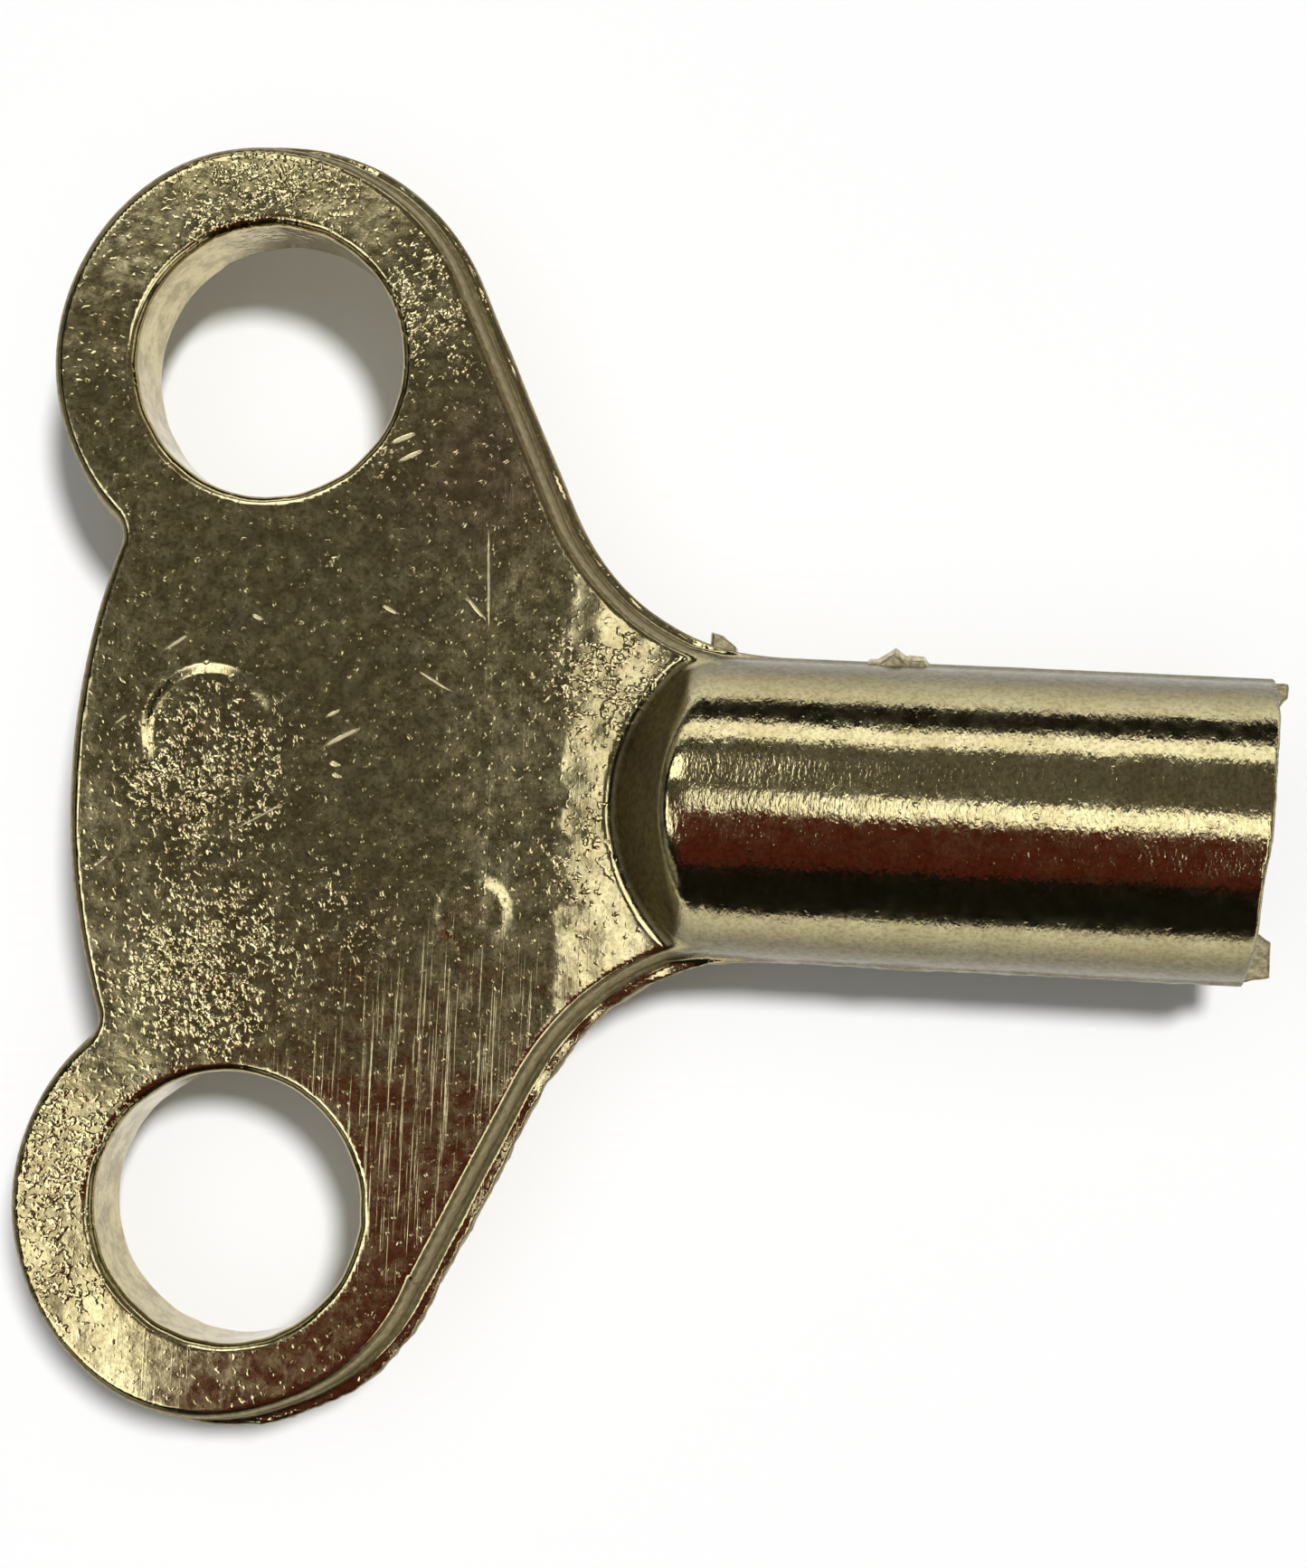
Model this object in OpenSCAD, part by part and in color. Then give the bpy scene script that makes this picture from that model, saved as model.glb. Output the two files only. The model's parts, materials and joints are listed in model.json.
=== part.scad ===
// Radiator bleed key: one brass casting with a flat two-eyed bow and a square-socket barrel.
// Millimetres. The origin is the centre of the socket's mouth, +X points out of the socket,
// +Y runs from the lower eye to the upper eye and +Z is square to the flat of the bow.
// Nothing on the key moves. Each node is one region of the casting, and neighbours meet
// face to face on plane cuts, so that a region can be changed or reused alone.

/* [Barrel] */
// Outside diameter of the socket barrel
barrel_d = 9; // [8.4:0.1:10]
// Length of plain round barrel, from the mouth to where the shoulder starts
barrel_l = 13.6; // [13.5:0.1:13.8]
// Width of the small chamfer on the rim of the mouth
rim_chamfer = 0.15; // [0.1:0.05:0.3]

/* [Socket] */
// Width across the flats of the square socket, a running fit on a 5 mm spindle
socket_w = 5.1; // [4.9:0.05:5.5]
// Depth of the square socket
socket_depth = 12; // [8:0.5:12]
// Length of the cone that the core pin leaves at the bottom of the socket
socket_cone = 1.2; // [0.5:0.1:1.4]

/* [Bow] */
// Thickness of the flat bow
bow_t = 3; // [2.4:0.1:3.4]
// Distance of the eyes' centres behind the mouth
eye_back = 30; // [29.6:0.1:30.4]
// Distance of each eye's centre from the barrel's axis
eye_off = 12.65; // [12.4:0.05:13]
// Outer radius of an eye
eye_r = 6.75; // [6.4:0.05:7]
// Diameter of the round hole through an eye
eye_hole_d = 8.1; // [7.6:0.1:8.6]
// Distance of the thumb lobe's rear edge behind the mouth
lobe_back = 35.6; // [35.2:0.1:36]
// Radius of the thumb lobe's rear edge
lobe_r = 22; // [18:0.5:26]
// Direction that the straight part of a flank faces, from +X towards its own eye
flank_angle = 25; // [23:0.5:26]
// Radius of the hollow curve that leads a flank into the barrel
flank_r = 7.4; // [7.2:0.1:7.8]

/* [Shoulder] */
// Distance of the shoulder's rearmost point behind the mouth, at the flat of the bow
shoulder_back = 18.9; // [18.6:0.1:19.1]
// Radius of the shoulder's round end at the flat of the bow
shoulder_r = 5.4; // [5.3:0.1:5.6]
// How far the shoulder's end leans in from the flat of the bow to the top of the barrel
shoulder_lean = 1.6; // [0.8:0.1:2]

/* [Casting marks] */
// Step from the parting band in to the drafted side wall
band_step = 0.4; // [0.2:0.05:0.5]
// Height of the parting band on the sides of the bow
band_h = 0.8; // [0.5:0.1:1.2]
// Diameter of the large ejector mark on the bow
large_mark_d = 3.8; // [3:0.1:4]
// Diameter of the small ejector mark on the bow
small_mark_d = 2.1; // [1.6:0.1:2.6]
// How far the ejector marks stand up from the flat of the bow
mark_h = 0.05; // [0.03:0.01:0.1]
// Height of the broken gate above the barrel
gate_h = 0.45; // [0.3:0.05:0.7]
// How far the flash stands out of the mouth
flash_out = 0.6; // [0.3:0.05:0.8]

/* [Hidden] */
$fn = 64;

barrel_r = barrel_d / 2;
brass = [0.71, 0.62, 0.36];
// Plane cuts between the regions
shoulder_cut = -shoulder_back - 1;
eye_cut = eye_off - eye_hole_d / 2 - 1.2;
// The marks' places on the +Z face
large_mark = [-31.2, 1.5];
small_mark = [-23, -3.5];
// Where the runner was broken off the barrel, and how wide and thick it was there
gate_x = -10.8;
gate_w = 1.85;
gate_t = 1.3;
// Where a spur of flash stands on the upper flank
spur_x = -16.05;
spur_w = 0.85;
spur_h = 0.4;
flash_t = 0.35;
big = 60;
eps = 0.01;

// Centre of the hollow curve on the +Y side, for an outline stepped in by inset.
// The curve touches both the flank's straight line and the barrel's side.
function hollow_centre(inset) =
    let (dir = [cos(flank_angle), sin(flank_angle)],
         line = [-eye_back, eye_off] * dir + eye_r - inset,
         r = flank_r + inset,
         y = barrel_r - inset + r)
    [(line + r - y * dir[1]) / dir[0], y];

// One side of the flare, from the axis out to the flank
module half_flare(inset) {
    dir = [cos(flank_angle), sin(flank_angle)];
    eye = [-eye_back, eye_off];
    hollow = hollow_centre(inset);
    difference() {
        polygon([eye, eye + (eye_r - inset) * dir, hollow - (flank_r + inset) * dir,
                 [hollow[0], barrel_r - inset], [hollow[0], 0], [-eye_back, 0]]);
        translate(hollow) circle(r = flank_r + inset, $fn = 180);
    }
}

// The bow's whole outline, stepped in by inset
module bow_outline(inset) {
    for (side = [0, 1]) mirror([0, side]) {
        translate([-eye_back, eye_off]) circle(r = eye_r - inset, $fn = 96);
        half_flare(inset);
    }
    intersection() {
        translate([lobe_r - lobe_back, 0]) circle(r = lobe_r - inset, $fn = 180);
        translate([-lobe_back, -eye_off]) square([lobe_back - eye_back + eps, 2 * eye_off]);
    }
}

// The flat bow: a drafted core with the parting band round its sides
module bow_plate() {
    linear_extrude(bow_t, center = true) bow_outline(band_step);
    linear_extrude(band_h, center = true) bow_outline(0);
}

// An eye: the part of the bow beyond its cut, with the hole through it
module eye(side) {
    difference() {
        intersection() {
            bow_plate();
            translate([0, side * (eye_cut + big / 2), 0])
                cube([3 * big, big, big], center = true);
        }
        translate([-eye_back, side * eye_off, 0])
            cylinder(h = 2 * bow_t, d = eye_hole_d, center = true);
    }
}

module upper_eye() {
    color(brass) eye(1);
}

module lower_eye() {
    color(brass) eye(-1);
}

// The low round pad that an ejector pin leaves on the +Z face
module ejector_mark(place, d) {
    translate([place[0], place[1], 0]) cylinder(h = bow_t / 2 + mark_h, d = d);
}

// The thumb rest between the eyes, with the two ejector marks
module thumb_web() {
    color(brass) {
        intersection() {
            bow_plate();
            translate([shoulder_cut - big / 2, 0, 0])
                cube([big, 2 * eye_cut, big], center = true);
        }
        ejector_mark(large_mark, large_mark_d);
        ejector_mark(small_mark, small_mark_d);
    }
}

// The barrel's round end: the bar cut off by an upright cone on each side of the bow
module round_end() {
    cone_h = barrel_r - bow_t / 2;
    intersection() {
        translate([-shoulder_back - 1, 0, 0]) rotate([0, 90, 0])
            cylinder(h = shoulder_back + 1 - barrel_l, r = barrel_r);
        union() {
            for (side = [0, 1]) mirror([0, 0, side]) {
                translate([shoulder_r - shoulder_back, 0, bow_t / 2])
                    cylinder(h = cone_h, r1 = shoulder_r, r2 = shoulder_r - shoulder_lean);
                translate([shoulder_r - shoulder_back, 0, 0])
                    cylinder(h = bow_t / 2 + eps, r = shoulder_r);
            }
            translate([shoulder_r - shoulder_back, -barrel_d, -barrel_d])
                cube([shoulder_back, 2 * barrel_d, 2 * barrel_d]);
        }
    }
}

// Where the flat bow flares into the barrel and the barrel's end stands on its faces
module shoulder() {
    color(brass) {
        intersection() {
            bow_plate();
            translate([(shoulder_cut - barrel_l) / 2, 0, 0])
                cube([-shoulder_cut - barrel_l, 2 * eye_cut, big], center = true);
        }
        round_end();
    }
}

// The tube with the square socket, from the shoulder to the mouth
module socket_barrel() {
    color(brass) difference() {
        rotate([0, -90, 0]) rotate_extrude($fn = 96) polygon([
            [0, 0], [barrel_r - rim_chamfer, 0], [barrel_r, rim_chamfer],
            [barrel_r, barrel_l], [0, barrel_l]]);
        translate([-socket_depth, -socket_w / 2, -socket_w / 2])
            cube([socket_depth + 1, socket_w, socket_w]);
        translate([-socket_depth + eps, 0, 0]) rotate([0, -90, 0])
            cylinder(h = socket_cone, r1 = socket_w / 2, r2 = 0.4);
    }
}

// The stub of the runner that was broken off the side of the barrel
module gate_stub() {
    color(brass) difference() {
        translate([gate_x, 0, 0]) linear_extrude(gate_t, center = true) polygon([
            [-gate_w / 2, barrel_r - 0.3], [-gate_w / 2, barrel_r + 0.1],
            [-gate_w / 8, barrel_r + gate_h], [gate_w / 4, barrel_r + 0.45 * gate_h],
            [gate_w / 2, barrel_r + 0.4 * gate_h], [gate_w / 2, barrel_r - 0.3]]);
        rotate([0, -90, 0]) cylinder(h = barrel_l, r = barrel_r, $fn = 96);
    }
}

// A spur of torn flash on the upper flank, just behind the barrel
module flank_flash() {
    base_y = barrel_r;
    tip_y = hollow_centre(0)[1]
        - sqrt(pow(flank_r, 2) - pow(spur_x - hollow_centre(0)[0], 2)) + spur_h;
    color(brass) difference() {
        translate([spur_x, 0, 0]) linear_extrude(flash_t, center = true) polygon([
            [-spur_w / 2, base_y], [-spur_w / 2, tip_y], [0, tip_y],
            [spur_w / 2, tip_y - spur_h / 2], [spur_w / 2, base_y]]);
        translate([0, 0, -flash_t]) linear_extrude(2 * flash_t) bow_outline(0);
        rotate([0, -90, 0]) cylinder(h = shoulder_back, r = barrel_r, $fn = 96);
    }
}

// Thin flash on the parting line, standing out of the mouth at the top and at the bottom
module mouth_flash() {
    lip_w = 0.7;
    tab_w = 1.4;
    tab_out = 0.85 * flash_out;
    inner = barrel_r - rim_chamfer;
    color(brass) {
        linear_extrude(flash_t, center = true) polygon([
            [0, inner - lip_w], [flash_out, inner - lip_w / 3], [flash_out, inner], [0, inner]]);
        linear_extrude(flash_t, center = true) polygon([
            [0, -inner], [tab_out, -inner], [tab_out, tab_w - inner],
            [0, tab_w - inner]]);
    }
}

thumb_web();
upper_eye();
lower_eye();
shoulder();
socket_barrel();
gate_stub();
flank_flash();
mouth_flash();
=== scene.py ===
import json
import math

import bmesh
import bpy
import numpy as np
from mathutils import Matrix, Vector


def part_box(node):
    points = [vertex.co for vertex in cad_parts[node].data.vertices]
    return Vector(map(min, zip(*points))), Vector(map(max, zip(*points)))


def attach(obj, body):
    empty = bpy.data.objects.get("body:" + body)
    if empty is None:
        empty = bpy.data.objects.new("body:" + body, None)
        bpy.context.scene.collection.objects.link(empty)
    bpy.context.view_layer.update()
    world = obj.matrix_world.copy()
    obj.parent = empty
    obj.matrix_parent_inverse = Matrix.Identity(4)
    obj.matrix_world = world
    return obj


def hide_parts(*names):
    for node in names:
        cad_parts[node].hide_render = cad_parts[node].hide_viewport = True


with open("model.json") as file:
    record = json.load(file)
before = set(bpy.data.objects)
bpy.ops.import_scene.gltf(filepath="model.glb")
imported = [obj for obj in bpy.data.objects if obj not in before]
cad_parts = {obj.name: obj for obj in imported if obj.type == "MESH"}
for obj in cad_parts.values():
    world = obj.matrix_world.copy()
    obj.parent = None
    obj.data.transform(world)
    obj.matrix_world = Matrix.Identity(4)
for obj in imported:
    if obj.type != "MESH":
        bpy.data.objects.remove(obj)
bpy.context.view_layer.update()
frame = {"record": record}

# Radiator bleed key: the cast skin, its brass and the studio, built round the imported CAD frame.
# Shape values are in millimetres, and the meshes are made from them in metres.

import openvdb
from mathutils import Vector

MM = 0.001


def box_mm(node):
    """A CAD node's lowest and highest corners in millimetres."""
    lo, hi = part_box(node)
    return np.array(lo) / MM, np.array(hi) / MM


# ---- Sizes read from the frame, in millimetres ----
MOUNTS = {m["name"]: m for m in frame["record"]["mounts"]}
EYE_X = MOUNTS["upper_eye_hole"]["pos_m"][0] / MM
EYE_Y = MOUNTS["upper_eye_hole"]["pos_m"][1] / MM
HOLE_R = MOUNTS["upper_eye_hole"]["dims"]["r_mm"]
BARREL_LO, BARREL_HI = box_mm("socket_barrel")
WEB_LO, WEB_HI = box_mm("thumb_web")
EYE_HI = box_mm("upper_eye")[1]
BARREL_R = BARREL_HI[1]
BARREL_CUT = BARREL_LO[0]
LOBE_X = WEB_LO[0]
SHOULDER_CUT = WEB_HI[0]
EYE_CUT = WEB_HI[1]
HALF_T = -WEB_LO[2]
EYE_R = EYE_HI[1] - EYE_Y
GATE_X = box_mm("gate_stub")[0][0] / 2 + box_mm("gate_stub")[1][0] / 2
SPUR_X = box_mm("flank_flash")[0][0] / 2 + box_mm("flank_flash")[1][0] / 2

# ---- Shape of the casting, in millimetres ----
LOBE_R = 22.0
FLANK_ANGLE = math.radians(25)
FLANK_R = 7.4
SHOULDER_BACK = 18.9
SHOULDER_R = 5.4
SHOULDER_LEAN = 1.6
WALL_DRAFT = 0.14
HOLE_ROUND = 0.28
LARGE_MARK = (-31.2, 1.5)
SMALL_MARK = (-23.0, -3.5)
SOCKET_HALF = 2.55
SOCKET_DEPTH = 12.0
SOCKET_CONE = 1.2
# How far the lobe and the flare run into the eyes
OVERLAP = 1.5
# Spacing of the mesh points on the casting and on the torn metal
PITCH = 0.11
TORN_PITCH = 0.03

# Plane cuts round each region of the casting: a point on each cut, and its outward normal
REGIONS = {
    "upper_eye": [((0, EYE_CUT, 0), (0, -1, 0))],
    "lower_eye": [((0, -EYE_CUT, 0), (0, 1, 0))],
    "thumb_web": [((0, EYE_CUT, 0), (0, 1, 0)), ((0, -EYE_CUT, 0), (0, -1, 0)),
                  ((SHOULDER_CUT, 0, 0), (1, 0, 0))],
    "shoulder": [((0, EYE_CUT, 0), (0, 1, 0)), ((0, -EYE_CUT, 0), (0, -1, 0)),
                 ((SHOULDER_CUT, 0, 0), (-1, 0, 0)), ((BARREL_CUT, 0, 0), (1, 0, 0))],
    "socket_barrel": [((BARREL_CUT, 0, 0), (-1, 0, 0))],
}


# ---- Smooth noise on numpy arrays ----
def noise(x, y, z, size, seed):
    """Smooth noise from -1 to 1, with features of the given size."""
    n = 32
    lattice = np.random.default_rng(seed).uniform(-1, 1, (n, n, n)).astype(np.float32)
    total = 0
    cells, ramps = [], []
    for v in (x, y, z):
        v = v / size
        cell = np.floor(v)
        t = (v - cell).astype(np.float32)
        cells.append(cell.astype(np.int32))
        ramps.append(t * t * (3 - 2 * t))
    for corner in range(8):
        bits = [(corner >> k) & 1 for k in range(3)]
        weight = 1
        for ramp, bit in zip(ramps, bits):
            weight = weight * (ramp if bit else 1 - ramp)
        i, j, k = [(cell + bit) % n for cell, bit in zip(cells, bits)]
        total = total + weight * lattice[i, j, k]
    return total


def rounded_max(a, b, r):
    """Intersection of two distance fields, with an outside edge rounded to radius r."""
    return np.minimum(-r, np.maximum(a, b)) + np.hypot(np.maximum(a + r, 0), np.maximum(b + r, 0))


def rounded_min(a, b, r):
    """Union of two distance fields, with an inside corner filled to radius r."""
    return np.maximum(r, np.minimum(a, b)) - np.hypot(np.maximum(r - a, 0), np.maximum(r - b, 0))


# ---- Distance fields of the casting, negative inside ----
def flank(x, y):
    """Distance to a flank: straight from the eye, then a hollow curve into the barrel's side."""
    nx, ny = math.cos(FLANK_ANGLE), math.sin(FLANK_ANGLE)
    line = EYE_X * nx + EYE_Y * ny + EYE_R
    hollow_y = BARREL_R + FLANK_R
    hollow_x = (line + FLANK_R - hollow_y * ny) / nx
    straight = x * nx + y * ny - line
    hollow = np.maximum(FLANK_R - np.hypot(x - hollow_x, y - hollow_y), y - hollow_y)
    past_line = (x - hollow_x) * ny - (y - hollow_y) * nx > 0
    return np.where(past_line, np.where(x < hollow_x, hollow, y - BARREL_R), straight)


def outline(x, y):
    """Distance to the bow's outline at the parting line, flat on the XY plane."""
    side = np.abs(y)
    nx, ny = math.cos(FLANK_ANGLE), math.sin(FLANK_ANGLE)
    eye = np.hypot(x - EYE_X, side - EYE_Y) - EYE_R
    above_eye = (side - EYE_Y) * nx - (x - EYE_X) * ny
    flare = np.maximum(np.maximum(flank(x, side), above_eye), EYE_X - OVERLAP - x)
    lobe = np.hypot(x - LOBE_X - LOBE_R, y) - LOBE_R
    lobe = np.maximum(np.maximum(lobe, x - EYE_X - OVERLAP), side - EYE_Y)
    return rounded_min(np.minimum(eye, flare), lobe, 0.3)


def step_up(v, low, high):
    """A smooth step from 0 at low to 1 at high."""
    t = np.clip((v - low) / (high - low), 0, 1)
    return t * t * (3 - 2 * t)


def bow(x, y, z):
    """The flat bow, with drafted walls, rounded edges and the sheared parting band."""
    edge = outline(x, y)
    height = np.abs(z)
    # The walls lie well inside the parting line on the flanks, and most on the lower one
    front = step_up(x, EYE_X - 3.5, EYE_X + 3.5)
    lower = step_up(-y, -2.0, 3.0)
    inset = 0.01 + front * (0.33 + 0.16 * lower)
    wall = edge + inset + WALL_DRAFT * height + 0.02 * noise(x, y, z, 2.6, 3)
    plate = rounded_max(wall, height - HALF_T, 0.26)
    # The band is torn on the lower flank and only scuffed elsewhere
    rough = 0.25 + 0.75 * front * lower
    torn = 0.03 + 0.045 * (1 + noise(x, y, 0 * z, 1.3, 5)) * rough
    torn = torn + rough * rough * (0.05 * noise(x, y, z, 0.45, 6) + 0.03 * noise(x, y, z, 0.22, 7))
    half = 0.30 + 0.14 * step_up(x, -17.5, -14.5) + 0.05 * noise(x, y, 0 * z, 0.9, 9)
    band = rounded_max(edge + torn, height - half, 0.09)
    return rounded_min(plate, band, 0.22)


def barrel(x, y, z):
    """The round barrel with its leaning round end on the bow."""
    rise = (np.abs(z) - HALF_T) / (BARREL_R - HALF_T)
    end_x = SHOULDER_R - SHOULDER_BACK
    end = np.hypot(np.minimum(x - end_x, 0), y) - (SHOULDER_R - SHOULDER_LEAN * np.maximum(rise, -0.3))
    bar = np.hypot(y, z) - BARREL_R + 0.03
    return rounded_max(bar, 0.88 * end, 0.26)


def socket(x, y, z):
    """The square socket, less than 0 inside the hollow, with the core pin's cone at its end."""
    walls = rounded_max(np.abs(y) - SOCKET_HALF, np.abs(z) - SOCKET_HALF, 0.3)
    square = np.maximum(walls, -SOCKET_DEPTH - x)
    slope = SOCKET_HALF * (1 + (x + SOCKET_DEPTH) / SOCKET_CONE)
    cone = np.maximum(np.hypot(y, z) - slope, -SOCKET_DEPTH - SOCKET_CONE - x)
    return np.minimum(square, np.maximum(cone, x + SOCKET_DEPTH))


def proud_disc(x, y, z, centre, r, height, tilt):
    """How far an ejector pin's witness lifts the +Z face, more on its upper side by tilt."""
    dx, dy = x - centre[0], y - centre[1]
    d = np.hypot(dx, dy)
    toward = (0.93 * dy - 0.36 * dx) / np.hypot(d, 0.6 * r)
    return height * step_up(r + 0.22 - d, 0, 0.44) * (1 - tilt + tilt * toward) * (z > 0.5)


def casting(x, y, z):
    """The whole casting, less its torn flash."""
    body = rounded_min(bow(x, y, z), barrel(x, y, z), 0.32)
    body = body + 0.016 * noise(x, y, z, 3.1, 1) + 0.006 * noise(x, y, z, 1.2, 2)
    body = body - proud_disc(x, y, z, LARGE_MARK, 1.9, 0.072, 0.75)
    body = body - proud_disc(x, y, z, SMALL_MARK, 1.05, 0.032, 0.45)
    # The flats sink a little where they near the shoulder
    ragged = 0.3 * noise(x, y, 0 * z, 0.7, 31) + 0.15 * noise(0.3 * x, y, 0 * z, 0.25, 32)
    sink = np.clip(x + 20.4 + ragged, 0, 2.6) * step_up(np.abs(z), 0.6, 1.2)
    body = body + 0.024 * sink * step_up(-x, 16.5, 17.5)
    # A crease where the die halves' inserts met, round the barrel's root
    body = body + 0.035 * np.exp(-((x + 16.04) / 0.09) ** 2) * step_up(np.abs(y), 2.6, 3.6)
    # The mouth is sheared a little out of square
    mouth = x - 0.055 * y - 0.06 * noise(x, y, z, 1.7, 8) - 0.02 * noise(x, y, z, 0.4, 10)
    body = rounded_max(body, mouth, 0.12)
    body = rounded_max(body, -socket(x, y, z), 0.1)
    hole = HOLE_R + 0.02 * noise(x, y, 0 * z, 0.5, 4) - np.hypot(x - EYE_X, np.abs(y) - EYE_Y)
    return rounded_max(body, hole, HOLE_ROUND)


# ---- Distance fields of the torn metal ----
def gate(x, y, z):
    """The broken stub of the runner on the barrel's side: a low ragged mound with two peaks."""
    out = np.hypot(y, z) - BARREL_R
    peak = 0.50 - 0.75 * np.abs(x - GATE_X + 0.12)
    second = 0.27 - 1.6 * np.maximum(np.abs(x - GATE_X - 0.5) - 0.25, 0)
    foot = 0.12 - 0.9 * np.maximum(np.abs(x - GATE_X) - 0.85, 0)
    top = np.maximum(np.maximum(peak, second), foot) - 0.5 * np.maximum(np.abs(z) - 0.35, 0)
    top = top + 0.035 * noise(x, y, z, 0.42, 21) + 0.012 * noise(x, y, z, 0.16, 22)
    body = np.maximum(0.75 * (out - top), -0.14 - out)
    return rounded_max(body, np.abs(z) - 0.68, 0.1)


def spur(x, y, z):
    """A thin tab of flash on the upper flank, broken off square at its front."""
    edge = outline(x, y)
    top = 0.34 - 0.55 * np.maximum(x - SPUR_X, 0) + 0.02 * noise(x, y, z, 0.2, 23)
    body = np.maximum(edge - top, -0.35 - edge)
    body = rounded_max(body, np.abs(x - SPUR_X) - 0.42 + 0.3 * np.abs(z), 0.05)
    return rounded_max(body, np.abs(z) - 0.2 - 0.04 * noise(x, y, z, 0.3, 24), 0.07)


def mouth_flash(x, y, z):
    """Flash at the mouth on the parting line: a pointed lip above, a square tab below."""
    ragged = 0.04 * noise(x, y, z, 0.35, 25) + 0.015 * noise(x, y, z, 0.13, 26)
    lip = np.maximum(0.6 * (3.25 + 1.15 * x - y), y - 4.42)
    lip = np.maximum(lip, x - 0.66)
    tab = np.maximum(0.8 * (y + 2.85 + 0.6 * x), -4.36 + 0.25 * x - y)
    tab = np.maximum(tab, x - 0.52)
    flat = np.maximum(np.minimum(lip, tab), -0.55 - x) + ragged
    return rounded_max(flat, np.abs(z) - 0.19, 0.07)


# ---- Meshes from distance fields ----
def gradient(field, p, step=0.004):
    """The field's gradient at points p."""
    out = np.empty_like(p)
    for k in range(3):
        offset = np.zeros(3)
        offset[k] = step
        out[:, k] = (field(*(p + offset).T) - field(*(p - offset).T)) / (2 * step)
    return out


def field_mesh(name, field, low, high, pitch):
    """A closed quad mesh of the field's zero surface in a box, with its points drawn onto it."""
    low, high = np.array(low, float), np.array(high, float)
    axes = [np.arange(a, b + pitch, pitch) for a, b in zip(low, high)]
    values = np.empty([len(a) for a in axes], np.float32)
    for i, x in enumerate(axes[0]):
        y, z = np.meshgrid(axes[1], axes[2], indexing="ij")
        values[i] = field(np.full_like(y, x), y, z)
    grid = openvdb.FloatGrid(1.0)
    grid.copyFromArray(values)
    points, quads = grid.convertToQuads(0.0)
    p = points.astype(float) * pitch + low
    for _ in range(3):
        g = gradient(field, p)
        length2 = np.maximum((g * g).sum(1), 0.2)
        move = (field(*p.T) / length2)[:, None] * g
        p -= np.clip(move, -pitch, pitch)
    mesh = bpy.data.meshes.new(name)
    mesh.from_pydata((p * MM).tolist(), [], quads.tolist())
    mesh.validate()
    mesh.update()
    return mesh


def region(source, name, cuts):
    """A closed piece of the source mesh, kept on the inner side of each (point, outward normal)."""
    bm = bmesh.new()
    bm.from_mesh(source)
    # The caps are marked with material 1 until smooth_with has given them flat normals
    for point, normal in cuts:
        whole = bm.verts[:] + bm.edges[:] + bm.faces[:]
        cut = bmesh.ops.bisect_plane(bm, geom=whole, dist=1e-7, clear_outer=True,
                                     plane_co=Vector(point) * MM, plane_no=normal)
        rim = [e for e in cut["geom_cut"] if isinstance(e, bmesh.types.BMEdge)]
        caps = bmesh.ops.holes_fill(bm, edges=rim, sides=0)["faces"]
        for face in caps:
            face.material_index = 1
    mesh = bpy.data.meshes.new(name)
    bm.to_mesh(mesh)
    bm.free()
    piece = bpy.data.objects.new(name, mesh)
    bpy.context.scene.collection.objects.link(piece)
    return piece


def smooth_with(piece, field):
    """Shades the piece by the field's own normals, so that neighbours show no seam."""
    mesh = piece.data
    count = len(mesh.vertices)
    co = np.empty(count * 3)
    mesh.vertices.foreach_get("co", co)
    normal = gradient(field, co.reshape(-1, 3) / MM, 0.03)
    normal /= np.linalg.norm(normal, axis=1, keepdims=True) + 1e-9
    loops = np.empty(len(mesh.loops), np.int32)
    mesh.loops.foreach_get("vertex_index", loops)
    by_loop = normal[loops]
    for face in mesh.polygons:
        if face.material_index == 1:
            by_loop[face.loop_indices] = face.normal
            face.material_index = 0
    mesh.shade_smooth()
    mesh.normals_split_custom_set(by_loop.tolist())


def finish_piece(piece, node, material):
    """Gives a piece its material and its place in the part."""
    piece.data.materials.clear()
    piece.data.materials.append(material)
    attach(piece, "root")
    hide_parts(node)


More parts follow.
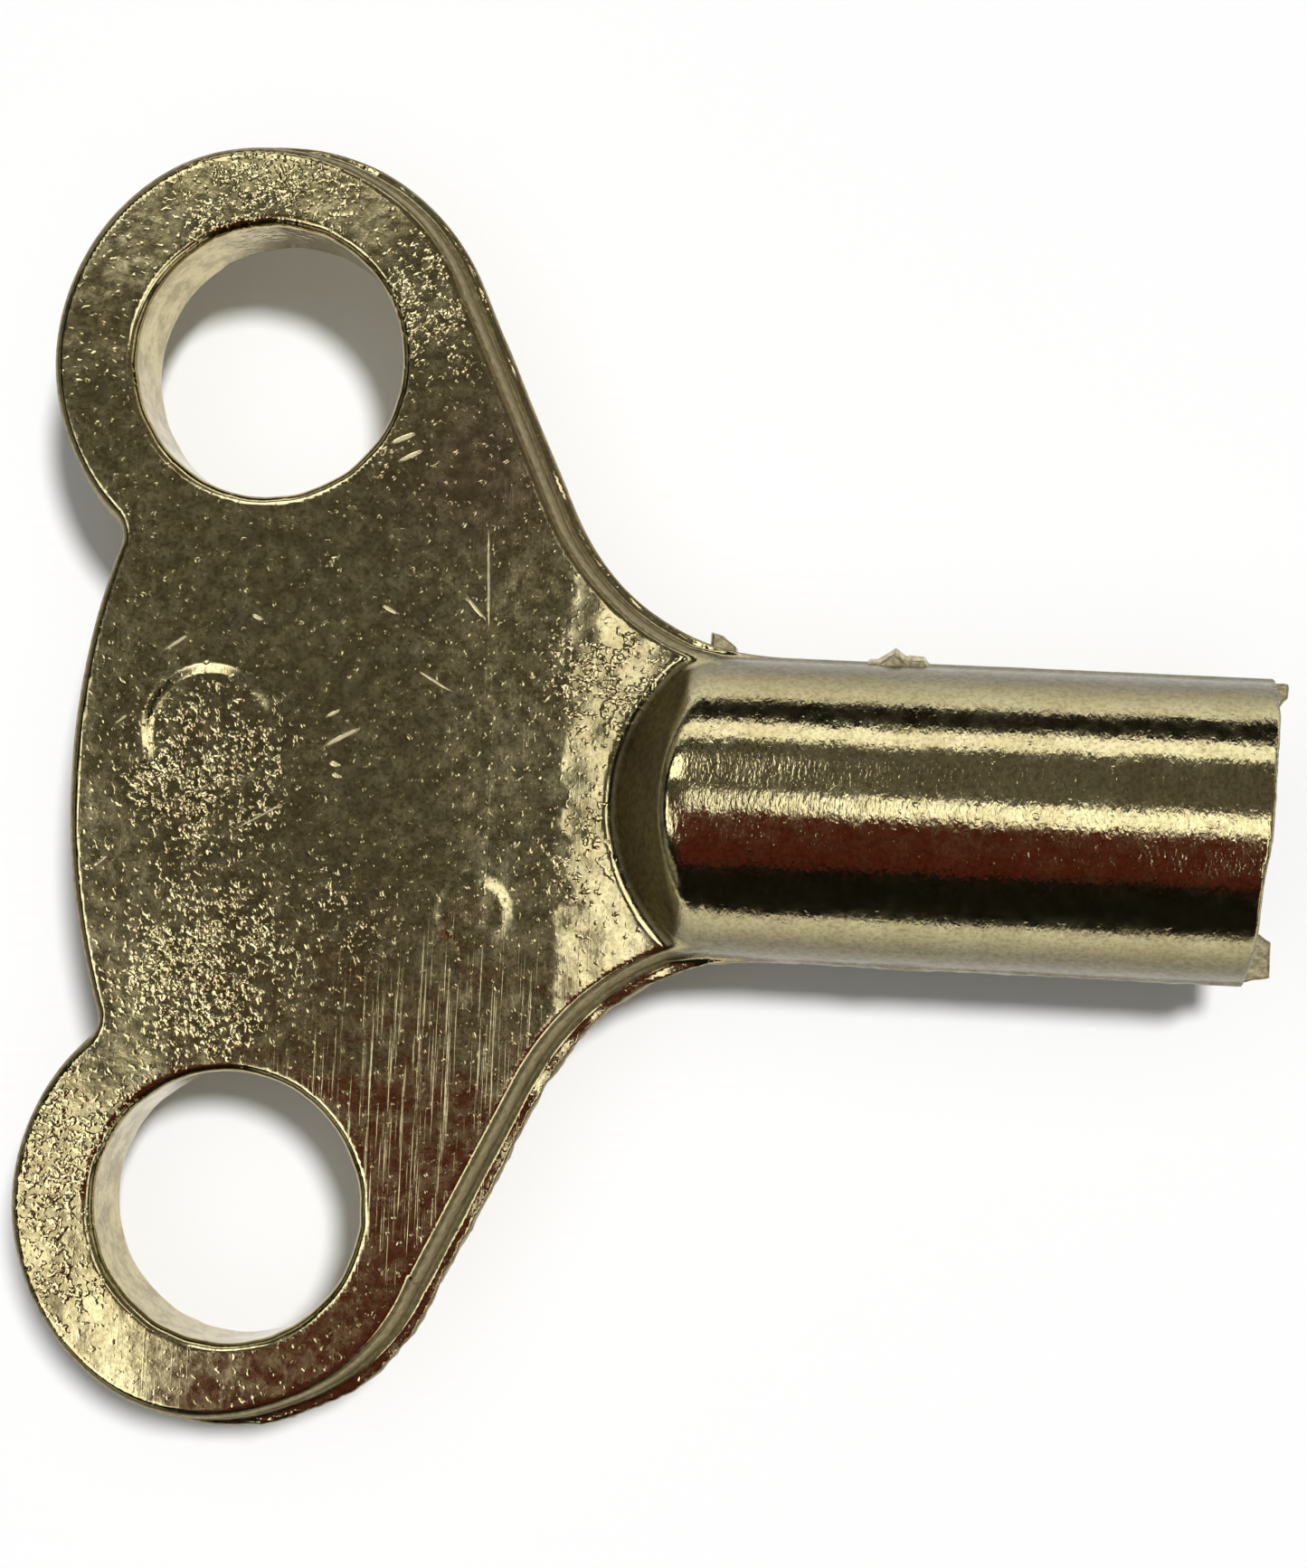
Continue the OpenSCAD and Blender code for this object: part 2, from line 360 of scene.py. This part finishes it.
# ---- Brass ----
class Nodes:
    """A short way to lay out a material's nodes."""

    def __init__(self, name):
        self.mat = bpy.data.materials.new(name)
        self.mat.use_nodes = True
        self.tree = self.mat.node_tree
        self.bsdf = self.tree.nodes["Principled BSDF"]

    def add(self, kind, links=None, **settings):
        """A node with its settings; links maps an input to a value or to another node's output."""
        node = self.tree.nodes.new("ShaderNode" + kind)
        for key, value in settings.items():
            setattr(node, key, value)
        for key, value in (links or {}).items():
            self.put(node.inputs[key], value)
        return node

    def put(self, socket, value):
        """Links an output to an input, or sets the input's own value."""
        if isinstance(value, bpy.types.NodeSocket):
            self.tree.links.new(value, socket)
        else:
            socket.default_value = value

    def math(self, operation, a, b=0.0, clamp=False):
        return self.add("Math", {0: a, 1: b}, operation=operation, use_clamp=clamp).outputs[0]

    def ramp(self, value, low, high, to_low=0.0, to_high=1.0):
        """A smooth step of value from low to high."""
        node = self.add("MapRange", {"Value": value, "From Min": low, "From Max": high,
                                     "To Min": to_low, "To Max": to_high})
        node.interpolation_type = "SMOOTHSTEP"
        return node.outputs["Result"]

    def noise(self, vector, scale, detail=2.0, rough=0.5):
        """Noise with scale features to the millimetre."""
        return self.add("TexNoise", {"Vector": vector, "Scale": scale, "Detail": detail,
                                     "Roughness": rough}).outputs["Fac"]

    def stretched(self, vector, scale):
        """The vector scaled by a different amount on each axis."""
        return self.add("VectorMath", {0: vector, 1: scale}, operation="MULTIPLY").outputs[0]

    def blob(self, vector, centre, radius, soft):
        """1 near a centre, falling to 0 past radius."""
        away = self.add("VectorMath", {0: vector, 1: centre}, operation="DISTANCE").outputs["Value"]
        return self.ramp(away, radius - soft, radius + soft, 1.0, 0.0)

    def mix(self, factor, a, b):
        """A mix of two colours."""
        node = self.add("Mix", data_type="RGBA")
        self.put(node.inputs["Factor"], factor)
        self.put(node.inputs[6], a)
        self.put(node.inputs[7], b)
        return node.outputs[2]

    def bump(self, height, distance, normal=None):
        """A bump of the given depth in metres, on top of another normal."""
        links = {"Height": height, "Distance": distance, "Strength": 1.0}
        if normal is not None:
            links["Normal"] = normal
        return self.add("Bump", links).outputs["Normal"]

    def scratch(self, vector, start, end, width):
        """1 along a scratch on the +Z face from start to end, 0 beside it."""
        middle = ((start[0] + end[0]) / 2, (start[1] + end[1]) / 2, 1.5)
        turn = math.atan2(end[1] - start[1], end[0] - start[0])
        length = math.hypot(end[0] - start[0], end[1] - start[1])
        local = self.add("Mapping", {"Vector": vector, "Location": middle, "Rotation": (0, 0, turn),
                                     "Scale": (length / 2, width, 1.0)}, vector_type="TEXTURE")
        away = self.add("VectorMath", {0: local.outputs[0]}, operation="LENGTH").outputs["Value"]
        return self.ramp(away, 0.2, 1.0, 1.0, 0.0)


# Scratches on the +Z face: start, end and half width
SCRATCHES = [
    ((-26.23, 10.25), (-25.37, 10.66), 0.095),
    ((-25.98, 9.72), (-25.13, 10.16), 0.075),
    ((-23.12, 8.0), (-22.95, 4.8), 0.048),
    ((-23.75, 5.95), (-23.0, 5.1), 0.068),
    ((-27.86, 1.12), (-26.49, 1.9), 0.095),
    ((-27.75, 2.05), (-27.24, 2.33), 0.068),
    ((-32.73, 3.85), (-31.92, 4.39), 0.075),
    ((-30.1, 5.05), (-29.7, 4.88), 0.068),
    ((-26.2, 5.49), (-25.6, 5.21), 0.068),
    ((-34.1, 1.6), (-33.7, 1.9), 0.054),
    ((-34.5, -2.68), (-34.05, -2.32), 0.068),
    ((-30.45, -1.48), (-28.6, -0.41), 0.048),
    ((-25.1, 3.65), (-23.85, 2.95), 0.048),
    ((-27.55, 0.75), (-27.15, 0.65), 0.09),
    ((-27.45, 0.42), (-27.1, 0.3), 0.08),
]

# Centres, radii and strengths of the coarse, sparkling grain on the bow
COARSE = [
    ((-31.3, 0.2, 1.5), 2.6, 0.9),
    ((-31.0, -5.6, 1.5), 2.7, 1.0),
    ((-34.6, -11.5, 1.5), 3.0, 0.9),
    ((-35.2, -14.8, 1.5), 2.2, 0.9),
    ((-30.4, 18.2, 1.5), 2.8, 1.0),
    ((-25.2, 14.5, 1.5), 2.2, 0.9),
    ((-27.0, -3.9, 1.5), 2.2, 0.45),
    ((-22.9, -3.3, 1.5), 1.2, 0.35),
    ((-19.4, 3.4, 1.5), 1.8, 1.0),
    ((-19.5, -1.6, 1.5), 1.6, 0.9),
]


def cast_brass():
    """Bright cast brass: pebbled grain, polishing lines, scratches, rougher walls, painted shade on
    the walls and edges, and a painted red reflection.
    """
    n = Nodes("cast_brass_look")
    place = n.add("TexCoord").outputs["Object"]
    p = n.add("VectorMath", {0: place, "Scale": 1 / MM}, operation="SCALE").outputs[0]
    xyz = n.add("SeparateXYZ", {0: p}).outputs
    flat_place = n.stretched(p, (1.0, 1.0, 0.0))
    facing = n.add("SeparateXYZ", {0: n.add("NewGeometry").outputs["Normal"]}).outputs["Z"]
    flat = n.ramp(n.math("ABSOLUTE", facing), 0.90, 0.99)
    bow_only = n.ramp(xyz["X"], -17.6, -16.4, 1.0, 0.0)
    flat = n.math("MULTIPLY", flat, bow_only)
    # Where the grain is coarse
    coarse = n.ramp(n.noise(p, 0.30, 2.0, 0.55), 0.56, 0.70, 0.0, 0.55)
    for centre, radius, strength in COARSE:
        patch = n.math("MULTIPLY", n.blob(p, centre, radius, 1.7), strength)
        coarse = n.math("MAXIMUM", coarse, patch)
    clumps = n.ramp(n.noise(p, 0.95, 2.0, 0.6), 0.36, 0.60, 0.45, 1.0)
    coarse = n.math("MULTIPLY", coarse, clumps)
    coarse = n.math("MULTIPLY", coarse, bow_only)
    # The rear edge is smoother than the rest, down to the lower eye
    smoother = n.ramp(xyz["X"], -35.5, -33.6, 0.3, 1.0)
    smoother = n.math("MAXIMUM", smoother, n.ramp(xyz["Y"], -9.0, -7.5, 1.0, 0.0))
    coarse = n.math("MULTIPLY", coarse, smoother)
    # Pebbles stand alone where the grain is sparse, and crowd together where it is coarse
    speckle = n.noise(p, 4.6, 1.5, 0.5)
    limit = n.ramp(coarse, 0.0, 1.0, 0.63, 0.42)
    pebble = n.math("MULTIPLY", n.math("SUBTRACT", speckle, limit), 4.5, clamp=True)
    size = n.ramp(coarse, 0.0, 1.0, 0.45, 1.0)
    pebble = n.math("MULTIPLY", pebble, size)
    peel = n.noise(p, 2.6, 3.0, 0.6)
    # Linishing lines along Y on the flats, mostly below the small ejector mark
    lines = n.noise(n.stretched(p, (13.0, 0.22, 1.0)), 1.0, 2.0, 0.7)
    lines = n.ramp(lines, 0.53, 0.80)
    lined = n.blob(p, (-23.6, -9.8, 1.5), 4.8, 3.2)
    lines = n.math("MULTIPLY", lines, n.ramp(lined, 0.0, 1.0, 0.04, 0.24))
    lines = n.math("MULTIPLY", lines, flat)
    # Draw lines along Z on the walls
    draws = n.noise(n.stretched(p, (4.0, 4.0, 0.45)), 1.0, 2.0, 0.6)
    draws = n.math("MULTIPLY", draws, n.ramp(n.math("ABSOLUTE", facing), 0.2, 0.7, 1.0, 0.0))
    # Fine teeth round the barrel
    teeth = n.noise(n.stretched(p, (9.0, 3.6, 3.6)), 1.0, 2.0, 0.6)
    teeth = n.math("MULTIPLY", teeth, n.math("SUBTRACT", 1.0, bow_only))
    cuts = 0.0
    for start, end, width in SCRATCHES:
        cuts = n.math("MAXIMUM", cuts, n.scratch(p, start, end, width))
    normal = n.bump(n.noise(p, 0.5, 2.0, 0.5), 0.000022)
    normal = n.bump(peel, 0.0000038, normal)
    normal = n.bump(draws, 0.000008, normal)
    normal = n.bump(teeth, 0.000011, normal)
    normal = n.bump(lines, 0.0000085, normal)
    normal = n.bump(pebble, 0.0000135, normal)
    normal = n.bump(n.math("MULTIPLY", cuts, n.noise(p, 11.0, 2.0, 0.7)), 0.000016, normal)
    n.put(n.bsdf.inputs["Normal"], normal)
    # Tarnish lies between the pebbles. The walls and the parting band are rougher, and carry painted
    # shade that darkens them the more they face sideways
    tone = n.noise(p, 0.7, 4.0, 0.65)
    colour = n.mix(n.ramp(tone, 0.35, 0.65), (0.66, 0.57, 0.30, 1), (0.75, 0.67, 0.38, 1))
    freckle = n.ramp(n.noise(p, 7.5, 2.0, 0.6), 0.32, 0.60, 0.55, 0.0)
    colour = n.mix(freckle, colour, (0.34, 0.275, 0.13, 1))
    between = n.math("MULTIPLY", n.math("SUBTRACT", 1.0, n.ramp(pebble, 0.0, 0.35)), coarse)
    colour = n.mix(n.math("MULTIPLY", between, 0.65), colour, (0.26, 0.21, 0.09, 1))
    # Painted red reflection: a reddish patch on the +Z face
    painted_red_reflection = n.math("MULTIPLY", n.blob(p, (-23.2, 9.6, 1.5), 2.2, 2.0), 0.55)
    colour = n.mix(painted_red_reflection, colour, (0.52, 0.36, 0.25, 1))
    wall = n.ramp(n.math("ABSOLUTE", facing), 0.42, 0.80, 1.0, 0.0)
    # Inside the eyes the walls get a lighter, mottled painted shade in place of the darker one
    bored = n.math("ADD", n.blob(flat_place, (EYE_X, EYE_Y, 0), HOLE_R + 0.2, 0.1),
                   n.blob(flat_place, (EYE_X, -EYE_Y, 0), HOLE_R + 0.2, 0.1))
    shade_mottle = n.ramp(n.noise(p, 5.0, 3.0, 0.6), 0.38, 0.62)
    eye_wall_shade = n.ramp(n.noise(p, 1.3, 4.0, 0.7), 0.38, 0.60)
    eye_wall_shade = n.mix(eye_wall_shade, (0.26, 0.205, 0.09, 1), (0.56, 0.47, 0.25, 1))
    colour = n.mix(n.math("MULTIPLY", n.math("MULTIPLY", bored, wall), 0.75), colour, eye_wall_shade)
    wall = n.math("MULTIPLY", wall, n.math("SUBTRACT", 1.0, bored))
    # Painted shade on the walls: dark, mottled brass wherever the surface faces sideways
    painted_wall_shade = n.mix(shade_mottle, (0.063, 0.054, 0.028, 1), (0.125, 0.105, 0.056, 1))
    # Painted shade on the bow's rounded edges, tan and lighter than on the walls
    edge = n.ramp(n.math("ABSOLUTE", facing), 0.80, 0.985, 1.0, 0.0)
    edge = n.math("MULTIPLY", n.math("MULTIPLY", edge, bow_only), n.math("SUBTRACT", 1.0, bored))
    painted_wall_shade = n.mix(edge, painted_wall_shade, n.mix(shade_mottle, (0.19, 0.15, 0.073, 1), (0.33, 0.265, 0.132, 1)))
    colour = n.mix(n.math("MULTIPLY", n.math("MAXIMUM", wall, edge), 0.85), colour, painted_wall_shade)
    colour = n.mix(cuts, colour, (0.93, 0.85, 0.52, 1))
    n.put(n.bsdf.inputs["Base Color"], colour)
    rough = n.ramp(n.noise(p, 2.2, 2.0, 0.6), 0.3, 0.7, 0.09, 0.16)
    rough = n.math("ADD", rough, n.math("MULTIPLY", wall, 0.14))
    rough = n.math("ADD", rough, n.math("MULTIPLY", edge, 0.22))
    rough = n.math("ADD", rough, n.math("MULTIPLY", cuts, 0.24))
    n.put(n.bsdf.inputs["Roughness"], rough)
    n.bsdf.inputs["Metallic"].default_value = 1.0
    return n.mat


def torn_brass():
    """Dull, torn brass on the gate and the flash."""
    n = Nodes("torn_brass_look")
    place = n.add("TexCoord").outputs["Object"]
    p = n.add("VectorMath", {0: place, "Scale": 1 / MM}, operation="SCALE").outputs[0]
    grain = n.noise(p, 6.0, 3.0, 0.6)
    tears = n.noise(n.stretched(p, (2.0, 9.0, 9.0)), 1.0, 2.0, 0.6)
    normal = n.bump(tears, 0.000012)
    normal = n.bump(grain, 0.000014, normal)
    n.put(n.bsdf.inputs["Normal"], normal)
    colour = n.mix(n.ramp(grain, 0.38, 0.62), (0.46, 0.40, 0.24, 1), (0.70, 0.63, 0.40, 1))
    n.put(n.bsdf.inputs["Base Color"], colour)
    n.put(n.bsdf.inputs["Roughness"], n.ramp(tears, 0.3, 0.7, 0.28, 0.46))
    n.bsdf.inputs["Metallic"].default_value = 1.0
    return n.mat


# ---- Pieces ----
def build_casting():
    """The casting's skin, cut into its five large regions."""
    low = (LOBE_X - 1.6, -EYE_Y - EYE_R - 0.5, -BARREL_R - 0.4)
    high = (0.9, EYE_Y + EYE_R + 0.5, BARREL_R + 0.4)
    whole = field_mesh("whole", casting, low, high, PITCH)
    brass = cast_brass()
    for node, cuts in REGIONS.items():
        piece = region(whole, node + "_skin", cuts)
        smooth_with(piece, casting)
        finish_piece(piece, node, brass)
    bpy.data.meshes.remove(whole)


def build_torn():
    """The gate's stub, the flank's spur and the mouth's flash, each from its own field."""
    brass = torn_brass()
    for node, field, grow in (("gate_stub", gate, 0.2), ("flank_flash", spur, 0.5),
                              ("mouth_flash", mouth_flash, 0.65)):
        low, high = box_mm(node)
        mesh = field_mesh(node + "_skin", field, low - grow, high + grow, TORN_PITCH)
        piece = bpy.data.objects.new(node + "_skin", mesh)
        bpy.context.scene.collection.objects.link(piece)
        smooth_with(piece, field)
        finish_piece(piece, node, brass)


def build_stage():
    """A pale floor under the barrel."""
    bpy.ops.mesh.primitive_plane_add(size=6.0, location=(EYE_X * MM / 2, 0, -BARREL_R * MM))
    floor = bpy.context.object
    floor.name = "floor"
    mat = bpy.data.materials.new("floor_look")
    mat.use_nodes = True
    shader = mat.node_tree.nodes["Principled BSDF"].inputs
    shader["Base Color"].default_value = (0.9, 0.9, 0.9, 1)
    shader["Roughness"].default_value = 0.9
    shader["Specular IOR Level"].default_value = 0.1
    floor.data.materials.append(mat)


def build_camera():
    """Nearly overhead and close, as a phone is held over a small part."""
    data = bpy.data.cameras.new("camera")
    camera = bpy.data.objects.new("camera", data)
    bpy.context.scene.collection.objects.link(camera)
    bpy.context.scene.camera = camera
    camera.location = (-0.00845, -0.00406, 0.08291)
    camera.rotation_mode = "ZXY"
    camera.rotation_euler = (0.0045, 0.0792, 0.0509)
    data.lens = 63.83
    data.shift_x = -0.0577
    data.shift_y = 0.0948
    data.clip_start = 0.001
    data.clip_end = 20


# Middle of the key's flat face along X, in metres, which the panels stand round
MIDDLE_X = -0.018


def lamp(name, kind, place, turn, energy, colour=(1, 1, 1)):
    """A lamp that the camera doesn't see."""
    data = bpy.data.lights.new(name, kind)
    data.energy = energy
    data.color = colour
    piece = bpy.data.objects.new(name, data)
    bpy.context.scene.collection.objects.link(piece)
    piece.location = place
    piece.rotation_euler = turn
    piece.visible_camera = False
    return piece


def soft_box(name, place, turn, size, radiance, colour=(1, 1, 1)):
    """A rectangular panel that lights only what mirrors it."""
    energy = radiance * math.pi * size[0] * size[1]
    piece = lamp(name, "AREA", place, turn, energy, colour)
    piece.data.shape = "RECTANGLE"
    piece.data.size, piece.data.size_y = size
    piece.visible_diffuse = False


def panel(name, x_range, y_range, radiance, colour=(1, 1, 1)):
    """A soft panel 1 m up that fills a range of leans from overhead, in degrees to +X and +Y."""
    x0, x1 = [math.tan(math.radians(a)) + MIDDLE_X for a in x_range]
    y0, y1 = [math.tan(math.radians(a)) for a in y_range]
    place = ((x0 + x1) / 2, (y0 + y1) / 2, 1.0)
    soft_box(name, place, (0, 0, 0), (x1 - x0, y1 - y0), radiance, colour)


def side_panel_at(name, lean, size, radiance):
    """A soft panel 1 m away that leans from overhead towards +Y, in degrees, and faces the key."""
    toward = Vector((0, math.tan(math.radians(lean)), 1)).normalized()
    turn = (-toward).to_track_quat("-Z", "X").to_euler()
    soft_box(name, Vector((MIDDLE_X, 0, 0)) + toward, turn, size, radiance)


def low_panel(name, azimuth, radiance):
    """A soft panel low down at an azimuth, for the brass to mirror when seen from its sides."""
    turn = math.radians(azimuth)
    rise = math.radians(24)
    toward = Vector((math.cos(turn) * math.cos(rise), math.sin(turn) * math.cos(rise), math.sin(rise)))
    aim = (-toward).to_track_quat("-Z", "Y").to_euler()
    soft_box(name, Vector((MIDDLE_X, 0, 0)) + toward, aim, (0.62, 0.42), radiance, (1.0, 0.95, 0.86))


def build_light():
    """A sun for the floor, and panels for the brass to reflect."""
    # The brass mirrors a dark room, and the camera sees a pale one past the floor's edge
    world = bpy.data.worlds.new("world")
    bpy.context.scene.world = world
    world.use_nodes = True
    tree = world.node_tree
    dim = tree.nodes["Background"]
    dim.inputs["Color"].default_value = (0.008, 0.0075, 0.006, 1)
    pale = tree.nodes.new("ShaderNodeBackground")
    pale.inputs["Color"].default_value = (0.90, 0.90, 0.90, 1)
    choice = tree.nodes.new("ShaderNodeMixShader")
    tree.links.new(tree.nodes.new("ShaderNodeLightPath").outputs["Is Camera Ray"], choice.inputs[0])
    tree.links.new(dim.outputs[0], choice.inputs[1])
    tree.links.new(pale.outputs[0], choice.inputs[2])
    tree.links.new(choice.outputs[0], tree.nodes["World Output"].inputs[0])
    toward = Vector((math.tan(math.radians(19)), math.tan(math.radians(14)), 1))
    sun = lamp("sun", "SUN", (0, 0, 1), (-toward).to_track_quat("-Z", "Y").to_euler(), 2.90)
    sun.data.angle = 0.14
    sun.visible_glossy = False
    fill = lamp("fill", "AREA", (MIDDLE_X, 0, 1.2), (0, 0, 0), 0.53 * math.pi * 4)
    fill.data.size = 2.0
    fill.visible_glossy = False
    panel("rear_panel", (-31, -22.3), (-4, 6), 2.15)
    panel("low_rear_panel", (-34, -17.9), (-25, -4), 2.1)
    panel("root_panel", (-5.8, 14), (-4.5, 10), 1.7)
    panel("ring_panel", (-26, -12), (17.0, 38), 2.3)
    panel("ceiling", (-34, -5.8), (-3, 30), 0.066, (1.0, 0.90, 0.74))
    panel("side_panel", (-12, 14), (10, 56), 0.10, (1.0, 0.92, 0.8))
    panel("red_card", (-17, 15), (-45, -3), 0.070, (1.0, 0.14, 0.08))
    panel("edge_panel", (17, 34), (-34, -4), 1.6)
    panel("front_card", (17, 62), (0, 45), 0.14, (1.0, 0.85, 0.62))
    side_panel_at("side_strip", 59.5, (0.25, 0.9), 1.35)
    low_panel("low_front", 0, 0.50)
    low_panel("low_front_left", 48, 0.50)
    low_panel("low_front_right", -48, 0.50)
    low_panel("low_rear_left", 135, 0.34)
    low_panel("low_rear_right", -135, 0.34)
    low_panel("low_rear", 180, 0.20)


# ---- Making ----
bpy.context.scene.view_settings.view_transform = "Standard"
build_casting()
build_torn()
build_stage()
build_camera()
build_light()
